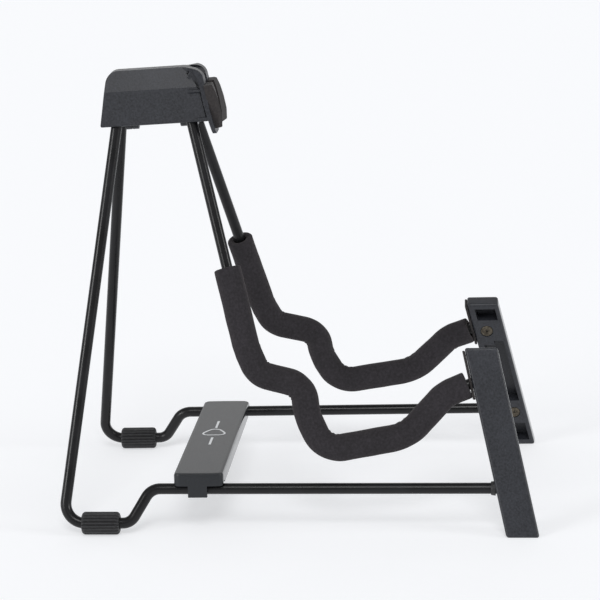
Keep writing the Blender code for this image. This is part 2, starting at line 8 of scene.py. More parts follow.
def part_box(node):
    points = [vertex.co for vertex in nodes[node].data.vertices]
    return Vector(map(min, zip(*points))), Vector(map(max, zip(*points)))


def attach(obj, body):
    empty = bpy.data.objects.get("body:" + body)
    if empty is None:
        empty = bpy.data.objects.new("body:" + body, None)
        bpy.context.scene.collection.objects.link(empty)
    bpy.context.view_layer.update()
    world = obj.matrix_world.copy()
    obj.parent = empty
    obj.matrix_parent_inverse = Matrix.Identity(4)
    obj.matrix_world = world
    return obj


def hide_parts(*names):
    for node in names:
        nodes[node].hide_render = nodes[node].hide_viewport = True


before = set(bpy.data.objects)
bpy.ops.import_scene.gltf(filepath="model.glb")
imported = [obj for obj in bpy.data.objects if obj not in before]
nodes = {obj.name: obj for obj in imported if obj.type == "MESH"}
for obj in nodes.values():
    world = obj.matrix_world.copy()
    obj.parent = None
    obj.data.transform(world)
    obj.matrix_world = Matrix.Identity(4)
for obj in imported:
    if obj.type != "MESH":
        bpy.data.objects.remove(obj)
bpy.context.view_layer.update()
mm = 0.001
bothSides = (("left", -1), ("right", 1))
print("frame loaded,", len(nodes), "nodes")


# how the stand leans: each side frame tilts out from a hinge line that climbs to the front
standLean = {
    "splay": math.radians(17.5),
    "rise": math.radians(2.5),
    "pinAlong": 81.0 * mm,      # middle of the hinge pin, along the hinge line from the apex
    "pinDrop": 42.0 * mm,       # and square below that line
    "floorDrop": 337.5 * mm,    # apex to floor down a side frame
}

headTurn = Matrix.Rotation(-standLean["rise"], 4, 'X')
pinLow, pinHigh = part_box("hinge_pin")
pinOffset = Vector((0, -standLean["pinAlong"], -standLean["pinDrop"]))
apex = (pinLow + pinHigh) / 2 - headTurn @ pinOffset
headPlace = Matrix.Translation(apex) @ headTurn
outUp = math.sin(standLean["splay"]) * math.cos(standLean["rise"])
downShare = math.sqrt(1 - outUp ** 2)


def sidePlace(side):            # x across the frame to the right, -y level forward, -z down it
    splay, rise = standLean["splay"], standLean["rise"]
    toeOut = math.atan(math.tan(splay) * math.sin(rise))
    across = Vector((math.cos(splay), side * math.sin(splay) * math.sin(rise), side * outUp))
    forward = Vector((side * math.sin(toeOut), -math.cos(toeOut), 0))
    turn = Matrix((across, -forward, across.cross(-forward))).transposed().to_4x4()
    return Matrix.Translation(apex) @ turn


def at(forward, down, out=0.0):  # a point given forward, down and outwards
    return Vector((out, -forward, -down))


def spotAt(point, out=0.0):     # the same from a (forward, down) pair in millimetres
    return at(point[0] * mm, point[1] * mm, out)


def srgb(code):                 # '#rrggbb' to linear colour
    channels = [int(code[i:i + 2], 16) / 255 for i in (1, 3, 5)]
    linear = [c / 12.92 if c <= 0.04045 else ((c + 0.055) / 1.055) ** 2.4 for c in channels]
    return (*linear, 1.0)


def addNode(tree, kind, settings=None, links=None):
    node = tree.nodes.new("ShaderNode" + kind)
    for key, value in (settings or {}).items():
        if isinstance(key, int) or key in node.inputs:
            node.inputs[key].default_value = value
        else:
            setattr(node, key, value)
    for key, source in (links or {}).items():
        tree.links.new(source, node.inputs[key])
    return node


def setRamp(node, stops):       # colour ramp stops as (place, colour)
    ramp = node.color_ramp
    while len(ramp.elements) < len(stops):
        ramp.elements.new(0.5)
    for element, (place, colour) in zip(ramp.elements, stops):
        element.position = place
        element.color = colour


def startMaterial(name, values):
    made = bpy.data.materials.new(name)
    made.use_nodes = True
    tree = made.node_tree
    shader = tree.nodes["Principled BSDF"]
    for key, value in values.items():
        shader.inputs[key].default_value = value
    spot = addNode(tree, "TexCoord").outputs["Object"]
    return made, tree, shader, spot


def scaleFor(size):             # noise scale whose features are about this many metres wide
    return 0.6 / size


def makePowderCoat():           # epoxy powder baked on steel rod: satin, with a faint orange peel
    look = {"dark": "#101011", "light": "#18181a", "peel": 0.9 * mm, "patch": 14 * mm}
    made, tree, shader, spot = startMaterial("satinPowderCoatedSteel", {
        "Roughness": 0.27, "IOR": 1.5, "Specular IOR Level": 0.26, "Coat Weight": 0.05,
        "Coat Roughness": 0.2})
    patch = addNode(tree, "TexNoise", {"Scale": scaleFor(look["patch"]), "Detail": 3.0},
                    {"Vector": spot})
    tone = addNode(tree, "ValToRGB", links={"Fac": patch.outputs["Fac"]})
    setRamp(tone, [(0.35, srgb(look["dark"])), (0.65, srgb(look["light"]))])
    tree.links.new(tone.outputs["Color"], shader.inputs["Base Color"])
    wear = addNode(tree, "MapRange", {"From Min": 0.3, "From Max": 0.7, "To Min": 0.24,
                                      "To Max": 0.34}, {"Value": patch.outputs["Fac"]})
    tree.links.new(wear.outputs["Result"], shader.inputs["Roughness"])
    peel = addNode(tree, "TexNoise", {"Scale": scaleFor(look["peel"]), "Detail": 2.0},
                   {"Vector": spot})
    bump = addNode(tree, "Bump", {"Strength": 0.12, "Distance": 0.1 * mm},
                   {"Height": peel.outputs["Fac"]})
    tree.links.new(bump.outputs["Normal"], shader.inputs["Normal"])
    return made


def makeFoamSkin():             # nitrile foam, closed cells with a skin: dull and mottled
    look = {"dark": "#232123", "mid": "#2b292c", "light": "#343135", "mottle": 1.2 * mm,
            "cells": 0.75 * mm, "patch": 20 * mm}
    made, tree, shader, spot = startMaterial("closedCellNitrileFoam", {
        "Roughness": 0.93, "Specular IOR Level": 0.22, "Sheen Weight": 0.12,
        "Sheen Roughness": 0.5, "Sheen Tint": srgb("#b8aeac")})
    mottle = addNode(tree, "TexNoise", {"Scale": scaleFor(look["mottle"]), "Detail": 5.0,
                                        "Roughness": 0.65}, {"Vector": spot})
    patch = addNode(tree, "TexNoise", {"Scale": scaleFor(look["patch"]), "Detail": 2.0},
                    {"Vector": spot})
    blend = addNode(tree, "Math", {"operation": 'MULTIPLY_ADD', 1: 0.35},
                    {0: patch.outputs["Fac"], 2: mottle.outputs["Fac"]})
    tone = addNode(tree, "ValToRGB", links={"Fac": blend.outputs[0]})
    setRamp(tone, [(0.45, srgb(look["dark"])), (0.66, srgb(look["mid"])),
                   (0.88, srgb(look["light"]))])
    tree.links.new(tone.outputs["Color"], shader.inputs["Base Color"])
    cells = addNode(tree, "TexVoronoi", {"Scale": 1.0 / look["cells"], "Randomness": 1.0},
                    {"Vector": spot})
    skin = addNode(tree, "Bump", {"Strength": 0.35, "Distance": 0.12 * mm},
                   {"Height": cells.outputs["Distance"]})
    waves = addNode(tree, "Bump", {"Strength": 0.5, "Distance": 0.3 * mm},
                    {"Height": mottle.outputs["Fac"], "Normal": skin.outputs["Normal"]})
    tree.links.new(waves.outputs["Normal"], shader.inputs["Normal"])
    return made


def makeMoulding(name, look):   # injection-moulded ABS; the mould's spark texture gives the grit
    made, tree, shader, spot = startMaterial(name, {
        "Roughness": look["roughness"], "IOR": 1.5,
        "Specular IOR Level": look["specular"]})
    grit = addNode(tree, "TexNoise", {"Scale": scaleFor(look["grit"]), "Detail": 4.0,
                                      "Roughness": 0.7}, {"Vector": spot})
    cloud = addNode(tree, "TexNoise", {"Scale": scaleFor(look["cloud"]), "Detail": 2.0},
                    {"Vector": spot})
    blend = addNode(tree, "Math", {"operation": 'MULTIPLY_ADD', 1: 0.3},
                    {0: cloud.outputs["Fac"], 2: grit.outputs["Fac"]})
    tone = addNode(tree, "ValToRGB", links={"Fac": blend.outputs[0]})
    setRamp(tone, [(0.42, srgb(look["dark"])), (0.88, srgb(look["light"]))])
    tree.links.new(tone.outputs["Color"], shader.inputs["Base Color"])
    rub = addNode(tree, "MapRange", {"From Min": 0.3, "From Max": 0.7,
                                     "To Min": look["roughness"] - 0.06,
                                     "To Max": look["roughness"] + 0.08},
                  {"Value": grit.outputs["Fac"]})
    tree.links.new(rub.outputs["Result"], shader.inputs["Roughness"])
    bump = addNode(tree, "Bump", {"Strength": look["relief"], "Distance": 0.1 * mm},
                   {"Height": grit.outputs["Fac"]})
    tree.links.new(bump.outputs["Normal"], shader.inputs["Normal"])
    return made


def makeRubber(name, look):     # moulded rubber: deep black, dull, a little dust in the surface
    made, tree, shader, spot = startMaterial(name, {
        "Roughness": look["roughness"], "Specular IOR Level": 0.35, "Sheen Weight": 0.06,
        "Sheen Roughness": 0.6})
    dust = addNode(tree, "TexNoise", {"Scale": scaleFor(look["dust"]), "Detail": 5.0,
                                      "Roughness": 0.7}, {"Vector": spot})
    tone = addNode(tree, "ValToRGB", links={"Fac": dust.outputs["Fac"]})
    setRamp(tone, [(0.35, srgb(look["dark"])), (0.7, srgb(look["light"]))])
    tree.links.new(tone.outputs["Color"], shader.inputs["Base Color"])
    bump = addNode(tree, "Bump", {"Strength": 0.25, "Distance": 0.08 * mm},
                   {"Height": dust.outputs["Fac"]})
    tree.links.new(bump.outputs["Normal"], shader.inputs["Normal"])
    return made


def makeMetal(name, look):      # plated or plain steel, its roughness streaked by handling
    made, tree, shader, spot = startMaterial(name, {"Metallic": 1.0})
    stain = addNode(tree, "TexNoise", {"Scale": scaleFor(look["stain"]), "Detail": 4.0},
                    {"Vector": spot})
    tone = addNode(tree, "ValToRGB", links={"Fac": stain.outputs["Fac"]})
    setRamp(tone, [(0.35, srgb(look["dark"])), (0.65, srgb(look["light"]))])
    tree.links.new(tone.outputs["Color"], shader.inputs["Base Color"])
    dull = addNode(tree, "MapRange", {"From Min": 0.3, "From Max": 0.7,
                                      "To Min": look["roughness"] - 0.08,
                                      "To Max": look["roughness"] + 0.1},
                   {"Value": stain.outputs["Fac"]})
    tree.links.new(dull.outputs["Result"], shader.inputs["Roughness"])
    return made


def makeInk():                  # pad-printed white ink, slightly broken where it is thin
    look = {"white": "#e4e6e8", "thin": "#b9bcc0", "speck": 0.6 * mm}
    made, tree, shader, spot = startMaterial("padPrintedWhiteInk", {"Roughness": 0.5})
    speck = addNode(tree, "TexNoise", {"Scale": scaleFor(look["speck"]), "Detail": 3.0},
                    {"Vector": spot})
    tone = addNode(tree, "ValToRGB", links={"Fac": speck.outputs["Fac"]})
    setRamp(tone, [(0.3, srgb(look["thin"])), (0.45, srgb(look["white"]))])
    tree.links.new(tone.outputs["Color"], shader.inputs["Base Color"])
    return made


powderCoat = makePowderCoat()
foamSkin = makeFoamSkin()
gritMoulding = makeMoulding("sparkTexturedAbs", {
    "dark": "#18191d", "light": "#32343a", "grit": 0.9 * mm, "cloud": 18 * mm,
    "roughness": 0.39, "specular": 0.42, "relief": 0.5})
fineMoulding = makeMoulding("satinAbs", {
    "dark": "#1b1d20", "light": "#26292d", "grit": 0.5 * mm, "cloud": 30 * mm,
    "roughness": 0.4, "specular": 0.36, "relief": 0.15})
glossMoulding = makeMoulding("polishedAbs", {
    "dark": "#1b1d20", "light": "#24272a", "grit": 0.5 * mm, "cloud": 30 * mm,
    "roughness": 0.13, "specular": 0.8, "relief": 0.03})
footRubber = makeRubber("mouldedFootRubber", {
    "dark": "#1c1c1d", "light": "#2d2d2f", "dust": 1.5 * mm, "roughness": 0.48})
padRubber = makeRubber("softPadRubber", {
    "dark": "#221f1f", "light": "#332f2f", "dust": 1.0 * mm, "roughness": 0.78})
screwZinc = makeMetal("dullZincPlate", {
    "dark": "#3f3a33", "light": "#6e675b", "stain": 1.5 * mm, "roughness": 0.42})
pinSteel = makeMetal("turnedPlainSteel", {
    "dark": "#8c8d90", "light": "#b0b1b4", "stain": 2.5 * mm, "roughness": 0.32})
printInk = makeInk()
print("materials made")


def mirrored(side):
    return Matrix.Diagonal((side, 1, 1, 1))


def everything(bm):
    return list(bm.verts) + list(bm.edges) + list(bm.faces)


def openEdges(bm):
    return [e for e in bm.edges if e.is_boundary]


def vertsOf(edges):
    return list(dict.fromkeys(v for e in edges for v in e.verts))


def vertsIn(geometry):
    return [part for part in geometry if isinstance(part, bmesh.types.BMVert)]


def faceOut(bm):                # every face pointing outwards
    bmesh.ops.recalc_face_normals(bm, faces=bm.faces)
    if bm.calc_volume(signed=True) < 0:
        bmesh.ops.reverse_faces(bm, faces=bm.faces)
    return bm


def weighByArea(mesh, bm, sharp):  # flat faces stay flat beside their rounded edges
    normals, limit = [], math.cos(math.radians(sharp))
    for face in bm.faces:
        for loop in face.loops:
            near = [f for f in loop.vert.link_faces if f.normal.dot(face.normal) > limit]
            total = sum((f.normal * f.calc_area() for f in near), Vector())
            normals.append(total.normalized() if total.length > 0 else face.normal.copy())
    mesh.normals_split_custom_set(normals)


def finishPiece(name, bm, surfaces, body, place, side=1, stands=(), sharp=32,
                flat=False):
    bmesh.ops.transform(bm, matrix=place @ mirrored(side), verts=bm.verts)
    if side < 0:
        bmesh.ops.reverse_faces(bm, faces=bm.faces)
    bm.normal_update()
    mesh = bpy.data.meshes.new(name)
    bm.to_mesh(mesh)
    for surface in surfaces if isinstance(surfaces, tuple) else (surfaces,):
        mesh.materials.append(surface)
    mesh.shade_smooth()
    if flat:
        weighByArea(mesh, bm, sharp)
    else:
        mesh.set_sharp_from_angle(angle=math.radians(sharp))
    bm.free()
    piece = bpy.data.objects.new(name, mesh)
    bpy.context.scene.collection.objects.link(piece)
    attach(piece, body)
    if stands:
        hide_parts(*stands)
    return piece


def roundedPath(corners, steps=10):  # straight runs joined by arcs; corners are ((a, b), radius)
    path = [Vector(corners[0][0])]
    for before, here, after in zip(corners, corners[1:], corners[2:]):
        corner = Vector(here[0])
        if here[1] == 0:
            path.append(corner)
            continue
        back, ahead = Vector(before[0]) - corner, Vector(after[0]) - corner
        half = back.angle(ahead) / 2
        reach = min(here[1] / math.tan(half), 0.49 * back.length, 0.49 * ahead.length)
        radius = reach * math.tan(half)
        toCentre = (back.normalized() + ahead.normalized()).normalized()
        centre = corner + toCentre * (radius / math.sin(half))
        first = corner + back.normalized() * reach - centre
        last = corner + ahead.normalized() * reach - centre
        sweep = first.angle_signed(last)
        path += [centre + Matrix.Rotation(-sweep * step / steps, 2) @ first
                 for step in range(steps + 1)]
    return path + [Vector(corners[-1][0])]


def inMetres(corners):
    return [((point[0] * mm, point[1] * mm), radius * mm) for point, radius in corners]


def prism(outline, travel):     # a closed outline of 3-D points pushed along a vector
    bm = bmesh.new()
    face = bm.faces.new([bm.verts.new(point) for point in outline])
    pushed = bmesh.ops.extrude_face_region(bm, geom=[face])["geom"]
    bmesh.ops.translate(bm, vec=travel, verts=vertsIn(pushed))
    return faceOut(bm)


def box(low, high):
    bm = bmesh.new()
    bmesh.ops.create_cube(bm, size=1)
    low, high = Vector(low), Vector(high)
    bmesh.ops.scale(bm, vec=high - low, verts=bm.verts)
    bmesh.ops.translate(bm, vec=(low + high) / 2, verts=bm.verts)
    return bm


def rodBetween(start, end, radius, endRadius=None, segments=32):
    bm = bmesh.new()
    run = end - start
    bmesh.ops.create_cone(bm, cap_ends=True, segments=segments, radius1=radius,
                          radius2=radius if endRadius is None else endRadius,
                          depth=run.length)
    turn = Vector((0, 0, 1)).rotation_difference(run).to_matrix().to_4x4()
    bmesh.ops.transform(bm, matrix=Matrix.Translation((start + end) / 2) @ turn,
                        verts=bm.verts)
    return bm


def turned(profile, steps, closed=False):   # (radius, height) pairs spun round z
    bm = bmesh.new()
    verts = [bm.verts.new((radius, 0, height)) for radius, height in profile]
    following = verts[1:] + (verts[:1] if closed else [])
    edges = [bm.edges.new(pair) for pair in zip(verts, following)]
    bmesh.ops.spin(bm, geom=verts + edges, cent=(0, 0, 0), axis=(0, 0, 1), angle=math.tau,
                   steps=steps, use_merge=True)
    bmesh.ops.remove_doubles(bm, verts=bm.verts, dist=0.01 * mm)
    return faceOut(bm)


def bevelEdges(bm, edges, width, segments, clamp=False):
    bmesh.ops.bevel(bm, geom=edges, offset=width, offset_type='OFFSET', segments=segments,
                    profile=0.5, affect='EDGES', material=-1, clamp_overlap=clamp)


def soften(bm, width, segments=3, angle=30, keep=None):  # bevels edges sharper than the angle
    edges = [e for e in bm.edges if e.is_manifold
             and e.calc_face_angle(0) > math.radians(angle) and (keep is None or keep(e))]
    bevelEdges(bm, edges, width, segments, True)
    return bm


def combine(bm, tool, operation='DIFFERENCE'):  # an exact Boolean of two solids
    holders = []
    for part in (bm, tool):
        mesh = bpy.data.meshes.new("step")
        part.to_mesh(mesh)
        part.free()
        holders.append(bpy.data.objects.new("step", mesh))
        bpy.context.scene.collection.objects.link(holders[-1])
    step = holders[0].modifiers.new("step", 'BOOLEAN')
    step.operation = operation
    step.solver = 'EXACT'
    step.use_self = operation == 'UNION'
    step.object = holders[1]
    made = bmesh.new()
    made.from_object(holders[0], bpy.context.evaluated_depsgraph_get())
    for holder in holders:
        mesh = holder.data
        bpy.data.objects.remove(holder)
        bpy.data.meshes.remove(mesh)
    bmesh.ops.remove_doubles(made, verts=made.verts, dist=0.002 * mm)
    return made


def pushRing(bm, edges, move=None, spin=None):  # carries an open ring of edges one step on
    if spin:
        centre, axis, angle = spin
        made = bmesh.ops.spin(bm, geom=vertsOf(edges) + edges, cent=centre, axis=axis,
                              angle=angle, steps=1, use_merge=False)["geom_last"]
    else:
        made = bmesh.ops.extrude_edge_only(bm, edges=edges)["geom"]
        bmesh.ops.translate(bm, vec=move, verts=vertsIn(made))
    return [e for e in made if isinstance(e, bmesh.types.BMEdge)]


# a ring pushed along the straight runs and spun round the bends; gives back its stations
def sweepTube(bm, corners, radius, sides, bendStep, runStep):
    points = [at(*point) for point, bend in corners]
    heading = (points[1] - points[0]).normalized()
    ring = bmesh.ops.create_circle(bm, segments=sides, radius=radius)["verts"]
    startEdges = list({e for v in ring for e in v.link_edges})
    turn = Vector((0, 0, 1)).rotation_difference(heading).to_matrix()
    bmesh.ops.rotate(bm, verts=ring, cent=(0, 0, 0), matrix=turn)
    bmesh.ops.translate(bm, verts=ring, vec=points[0])
    edges, here = startEdges, points[0]
    stations = [(ring, here, heading, None, 0)]

    def note(centre, bendSide, bendLeft):
        stations.append((vertsOf(edges), centre, heading, bendSide, bendLeft))

    for index in range(1, len(points)):
        corner, last = points[index], index == len(points) - 1
        reach = 0.0
        if not last:
            back, ahead = points[index - 1] - corner, points[index + 1] - corner
            half = back.angle(ahead) / 2
            reach = min(corners[index][1] / math.tan(half), 0.49 * back.length,
                        0.49 * ahead.length)
        run = (corner - heading * reach - here).length
        count = max(1, round(run / runStep))
        for step in range(count):
            edges = pushRing(bm, edges, move=heading * (run / count))
            here = here + heading * (run / count)
            note(here, None, 0)
        if last:
            break
        bend = reach * math.tan(half)
        bendSide = (ahead - heading * ahead.dot(heading)).normalized()
        centre, axis = here + bendSide * bend, heading.cross(ahead).normalized()
        angle = heading.angle(ahead)
        count = max(3, math.ceil(angle / bendStep))
        for step in range(count):
            part = Matrix.Rotation(angle / count, 3, axis)
            edges = pushRing(bm, edges, spin=(centre, axis, angle / count))
            here, heading = centre + part @ (here - centre), part @ heading
            inward = (centre - here).normalized()
            note(here, inward, math.sin(math.pi * (step + 1) / count))
    return stations, (startEdges, edges)


rod = {
    "radius": 4.0 * mm,
    "upperEnd": (316.0, 226.9),   # inside the post
    "arm": [((291.5, 237.0), 22), ((264.5, 266.5), 34), ((204.6, 277.0), 18),
            ((192.3, 251.4), 38), ((189.8, 230.1), 25), ((156.6, 221.5), 15),
            ((148.7, 203.2), 40)],
    "head": [((105.0, 21.0), 12), ((56.6, 21.0), 12)],
    "rearCorner": 14.4,
    "footCorner": 63.9,
    "railCorner": 78.8,
    "railDrop": 304.1,
    "railEnd": 336.0,
    "footRadius": 8.25,
}
footDrop = standLean["floorDrop"] / mm - rod["footRadius"] / downShare


def buildRod(label, side):
    corners = [(rod["upperEnd"], 0)] + rod["arm"] + rod["head"]
    corners += [((rod["rearCorner"], footDrop), 14), ((rod["footCorner"], footDrop), 10),
                ((rod["railCorner"], rod["railDrop"]), 12), ((rod["railEnd"], rod["railDrop"]), 0)]
    bm = bmesh.new()
    sweepTube(bm, inMetres(corners), rod["radius"], 28, math.radians(6), 30 * mm)
    bmesh.ops.holes_fill(bm, edges=openEdges(bm), sides=0)
    bmesh.ops.recalc_face_normals(bm, faces=bm.faces)
    soften(bm, 0.5 * mm, 2, 60)
    finishPiece("bentRod_" + label, bm, powderCoat, label + "_frame", sidePlace(side),
                stands=["side_rod_" + label])


for label, side in bothSides:
    buildRod(label, side)
print("rods bent")


foam = {
    "radius": 9.8 * mm,
    "wall": 4.9 * mm,
    "frontEnd": (306.8, 230.7),
    "topEnd": (134.9, 146.0),
    "rim": 1.3 * mm,
    "crease": 0.3 * mm,          # depth of the wrinkles inside a bend
    "creaseEvery": 7.0 * mm,
    "lump": 0.22 * mm,
}


def buildFoam(label, side):
    corners = inMetres([(foam["frontEnd"], 0)] + rod["arm"] + [(foam["topEnd"], 0)])
    bm = bmesh.new()
    stations, ends = sweepTube(bm, corners, foam["radius"], 40, math.radians(3.5), 2.0 * mm)
    bore = foam["radius"] - foam["wall"]
    boreEnds = sweepTube(bm, corners, bore, 40, math.radians(7), 6.0 * mm)[1]
    travelled, lastCentre = 0.0, stations[0][1]
    for verts, centre, heading, inward, share in stations:
        travelled += (centre - lastCentre).length
        lastCentre = centre
        wave = math.sin(math.tau * travelled / foam["creaseEvery"])
        for vert in verts:
            spoke = (vert.co - centre).normalized()
            grow = foam["lump"] * noise.noise(vert.co * 90 + Vector((side * 7, 0, 0)))
            if inward is not None:
                inside = max(0.0, spoke.dot(inward) - 0.25) / 0.75
                grow += share * inside * foam["crease"] * (wave - 0.2)
                grow -= share * 0.25 * mm * max(0.0, -spoke.dot(inward))
            vert.co += spoke * grow
    rim = foam["rim"]
    rounding = [(foam["radius"] - rim * 0.3, rim * 0.55), (foam["radius"] - rim, rim * 0.8),
                (bore + rim * 0.9, rim * 0.8), (bore + rim * 0.3, rim * 0.5)]
    for outer, inner, station, out in ((ends[0], boreEnds[0], stations[0], -1),
                                       (ends[1], boreEnds[1], stations[-1], 1)):
        centre, heading = station[1:3]
        base = 0.0
        for radius, lift in rounding:      # the cut end rolls over into the bore
            outer = pushRing(bm, outer, move=heading * (out * (lift - base)))
            for vert in vertsOf(outer):
                flat = vert.co - centre
                along = heading * flat.dot(heading)
                vert.co = centre + along + (flat - along).normalized() * radius
            base = lift
        bmesh.ops.bridge_loops(bm, edges=outer + inner)
    bmesh.ops.recalc_face_normals(bm, faces=bm.faces)
    piece = finishPiece("foamSleeve_" + label, bm, foamSkin, label + "_frame",
                        sidePlace(side), stands=["arm_foam_" + label],
                        sharp=75)


for label, side in bothSides:
    buildFoam(label, side)
print("foam sleeves on")


foot = {
    "span": (28.5 * mm, 56.0 * mm),
    "radius": 8.25 * mm,
    "bore": 4.35 * mm,
    "ribs": 20,
    "groove": 1.3 * mm,
    "endRound": 2.4 * mm,
}


def buildFoot(label, side):
    bm = bmesh.new()
    perRib = 8
    bmesh.ops.create_circle(bm, segments=foot["ribs"] * perRib, radius=1)
    r = foot["endRound"]
    length = foot["span"][1] - foot["span"][0]

    def ribRadius(vert, shrink):
        turn = math.atan2(vert.co.y, vert.co.x)
        dip = max(0.0, 0.5 - 0.5 * math.cos(foot["ribs"] * turn)) ** 1.5
        return foot["radius"] - shrink - foot["groove"] * dip * (1 - 0.3 * shrink / r)

    def setRing(edges, height, radiusOf):
        for vert in vertsOf(edges):
            flat = Vector((vert.co.x, vert.co.y, 0)).normalized() * radiusOf(vert)
            vert.co = (flat.x, flat.y, height)

    rounding = [(r * (1 - math.cos(a)), r * (1 - math.sin(a)))
                for a in (math.radians(d) for d in (0, 22, 45, 67, 90))]
    edges, base = list(bm.edges), 0.0
    for height, shrink in rounding + [(length - x, inset) for x, inset in reversed(rounding)]:
        if height > 0:
            edges = pushRing(bm, edges, move=Vector((0, 0, height - base)))
        setRing(edges, height, lambda vert: ribRadius(vert, shrink))
        base = height
    for end, inward in ((0.0, 1), (length, -1)):     # the flat ends and the bore
        loop = [e for e in openEdges(bm) if all(abs(v.co.z - end) < 0.01 * mm for v in e.verts)]
        for radius, depth in ((foot["bore"] + 0.5 * mm, 0.0), (foot["bore"], 0.5 * mm),
                              (foot["bore"], 6 * mm)):
            loop = pushRing(bm, loop, move=Vector((0, 0, 0)))
            setRing(loop, end + inward * depth, lambda vert: radius)
    bmesh.ops.bridge_loops(bm, edges=openEdges(bm))
    squareUp = Matrix.Rotation(standLean["splay"], 4, 'Y')
    layDown = squareUp @ Matrix.Rotation(math.radians(90), 4, 'X')
    ribDown = Matrix.Rotation(math.radians(90), 4, 'Z')   # a rib, not a groove, meets the floor
    place = Matrix.Translation(at(foot["span"][0], footDrop * mm)) @ layDown @ ribDown
    bmesh.ops.transform(bm, matrix=place, verts=bm.verts)
    bmesh.ops.recalc_face_normals(bm, faces=bm.faces)
    finishPiece("ribbedFoot_" + label, bm, footRubber, label + "_frame", sidePlace(side),
                side, stands=["rear_foot_" + label], sharp=50)


for label, side in bothSides:
    buildFoot(label, side)
print("feet on")


def screwMesh(headRadius, headDepth, shank, length, recess):
    bm = turned([(0, 0), (headRadius - 0.2 * mm, 0), (headRadius, 0.15 * mm),
                 (headRadius, 0.4 * mm), (shank, headDepth), (shank, length),
                 (0, length + 0.6 * mm)], 40)
    for turn in (20, 110):      # two crossed slots that narrow downwards
        slot = bmesh.new()
        bmesh.ops.create_cone(slot, cap_ends=True, segments=4, radius1=recess * 1.05,
                              radius2=recess * 0.35, depth=2 * recess)
        bmesh.ops.rotate(slot, verts=slot.verts, cent=(0, 0, 0),
                         matrix=Matrix.Rotation(math.radians(45), 3, 'Z'))
        bmesh.ops.scale(slot, vec=(1.35, 0.3, 1), verts=slot.verts)
        bmesh.ops.rotate(slot, verts=slot.verts, cent=(0, 0, 0),
                         matrix=Matrix.Rotation(math.radians(turn), 3, 'Z'))
        bm = combine(bm, slot)
    return bm


def buildScrews(kind, settings, label, side, place):
    layDown = Matrix.Rotation(math.radians(90), 4, 'Y')
    for level, point in settings["places"].items():
        bm = screwMesh(*settings["size"])
        spot = Matrix.Translation(spotAt(point, settings["start"]))
        bmesh.ops.transform(bm, matrix=spot @ layDown, verts=bm.verts)
        finishPiece(f"{kind}Screw_{level}_{label}", bm, screwZinc, label + "_frame", place,
                    side, stands=[f"{kind}_screw_{level}_{label}"])


postScrew = {
    "places": {"upper": (320.7, 228.5), "lower": (341.2, 304.8)},
    "size": (4.5 * mm, 2.4 * mm, 1.9 * mm, 8.0 * mm, 1.9 * mm),  # head, depth, shank, length, slot
    "start": -5.25 * mm,         # sunk a little below the post's inner face
}

for label, side in bothSides:
    buildScrews("post", postScrew, label, side, sidePlace(side))
print("post screws in")


post = {
    "topDrop": 204.0 * mm,
    "topRear": 305.7 * mm,
    "width": 23.6 * mm,
    "lean": 0.2134,              # forward travel for each unit of drop
    "outer": 6.5 * mm,
    "inner": -5.5 * mm,
    "edge": 1.9 * mm,
    "pocketDepth": 9.2 * mm,
    "draft": 0.35 * mm,
    "rearWall": 5.0 * mm,
    "frontWall": 3.2 * mm,
    "pockets": [(208.5, 218.5, 0.0), (241.3, 293.5, 0.0), (237.6, 243.0, 8.2),
                (315.0, 331.0, 0.0)],   # top, bottom, extra rear wall
    "armSlack": 0.5 * mm,
    "railSlack": 0.9 * mm,
    "screwSlack": 0.45 * mm,
}


def postRear(down):
    return post["topRear"] + post["lean"] * (down - post["topDrop"])


def cornerBlock(place):         # a cube whose corners are sent where place() says
    bm = bmesh.new()
    bmesh.ops.create_cube(bm, size=2)
    for vert in bm.verts:
        vert.co = place(*(round(c) for c in vert.co))
    return faceOut(bm)


def postCorner(x, y, z):
    out = post["outer"] if x > 0 else post["inner"]
    down = post["topDrop"] if z > 0 else standLean["floorDrop"] + out * outUp / downShare
    return at(postRear(down) + (post["width"] if y > 0 else 0), down, out)


def pocketTool(top, bottom, extra):
    def corner(x, y, z):
        shrink = post["draft"] * (1 if x > 0 else -0.2)
        out = post["inner"] + (post["pocketDepth"] if x > 0 else -1 * mm)
        down = top * mm + shrink if z > 0 else bottom * mm - shrink
        across = (post["width"] - post["frontWall"] - shrink if y > 0
                  else post["rearWall"] + extra * mm + shrink)
        return at(postRear(down) + across, down, out)

    return cornerBlock(corner)


def armEndBore(slack):          # the way in for the upper end of the rod
    return rodBetween(spotAt(rod["arm"][0][0]), spotAt(rod["upperEnd"]), rod["radius"] + slack)


def buildPost(label, side):
    bm = soften(cornerBlock(postCorner), post["edge"], 4)
    for top, bottom, extra in post["pockets"]:
        bm = combine(bm, pocketTool(top, bottom, extra))
    bm = combine(bm, armEndBore(post["armSlack"]))
    railEnd = spotAt((rod["railEnd"], rod["railDrop"]))
    bm = combine(bm, rodBetween(railEnd + Vector((0, 30 * mm, 0)), railEnd,
                                rod["radius"] + post["railSlack"]))
    for point in postScrew["places"].values():
        seat = spotAt(point, post["inner"] + 1.0 * mm)
        bm = combine(bm, rodBetween(seat - Vector((3 * mm, 0, 0)), seat,
                                    postScrew["size"][0] + post["screwSlack"], segments=48))
    soften(bm, 0.3 * mm, 2, 50)
    bm.normal_update()
    for face in bm.faces:       # the front edge comes out of the mould glossier
        if -face.normal.y > 0.85 and face.calc_center_median().y < -postRear(0) - 20 * mm:
            face.material_index = 1
    finishPiece("frontPost_" + label, bm, (gritMoulding, glossMoulding), label + "_frame",
                sidePlace(side), side, stands=["front_post_" + label],
                flat=True)


railCollar = {"radius": 5.3 * mm, "length": 3.4 * mm, "bore": 4.1 * mm}


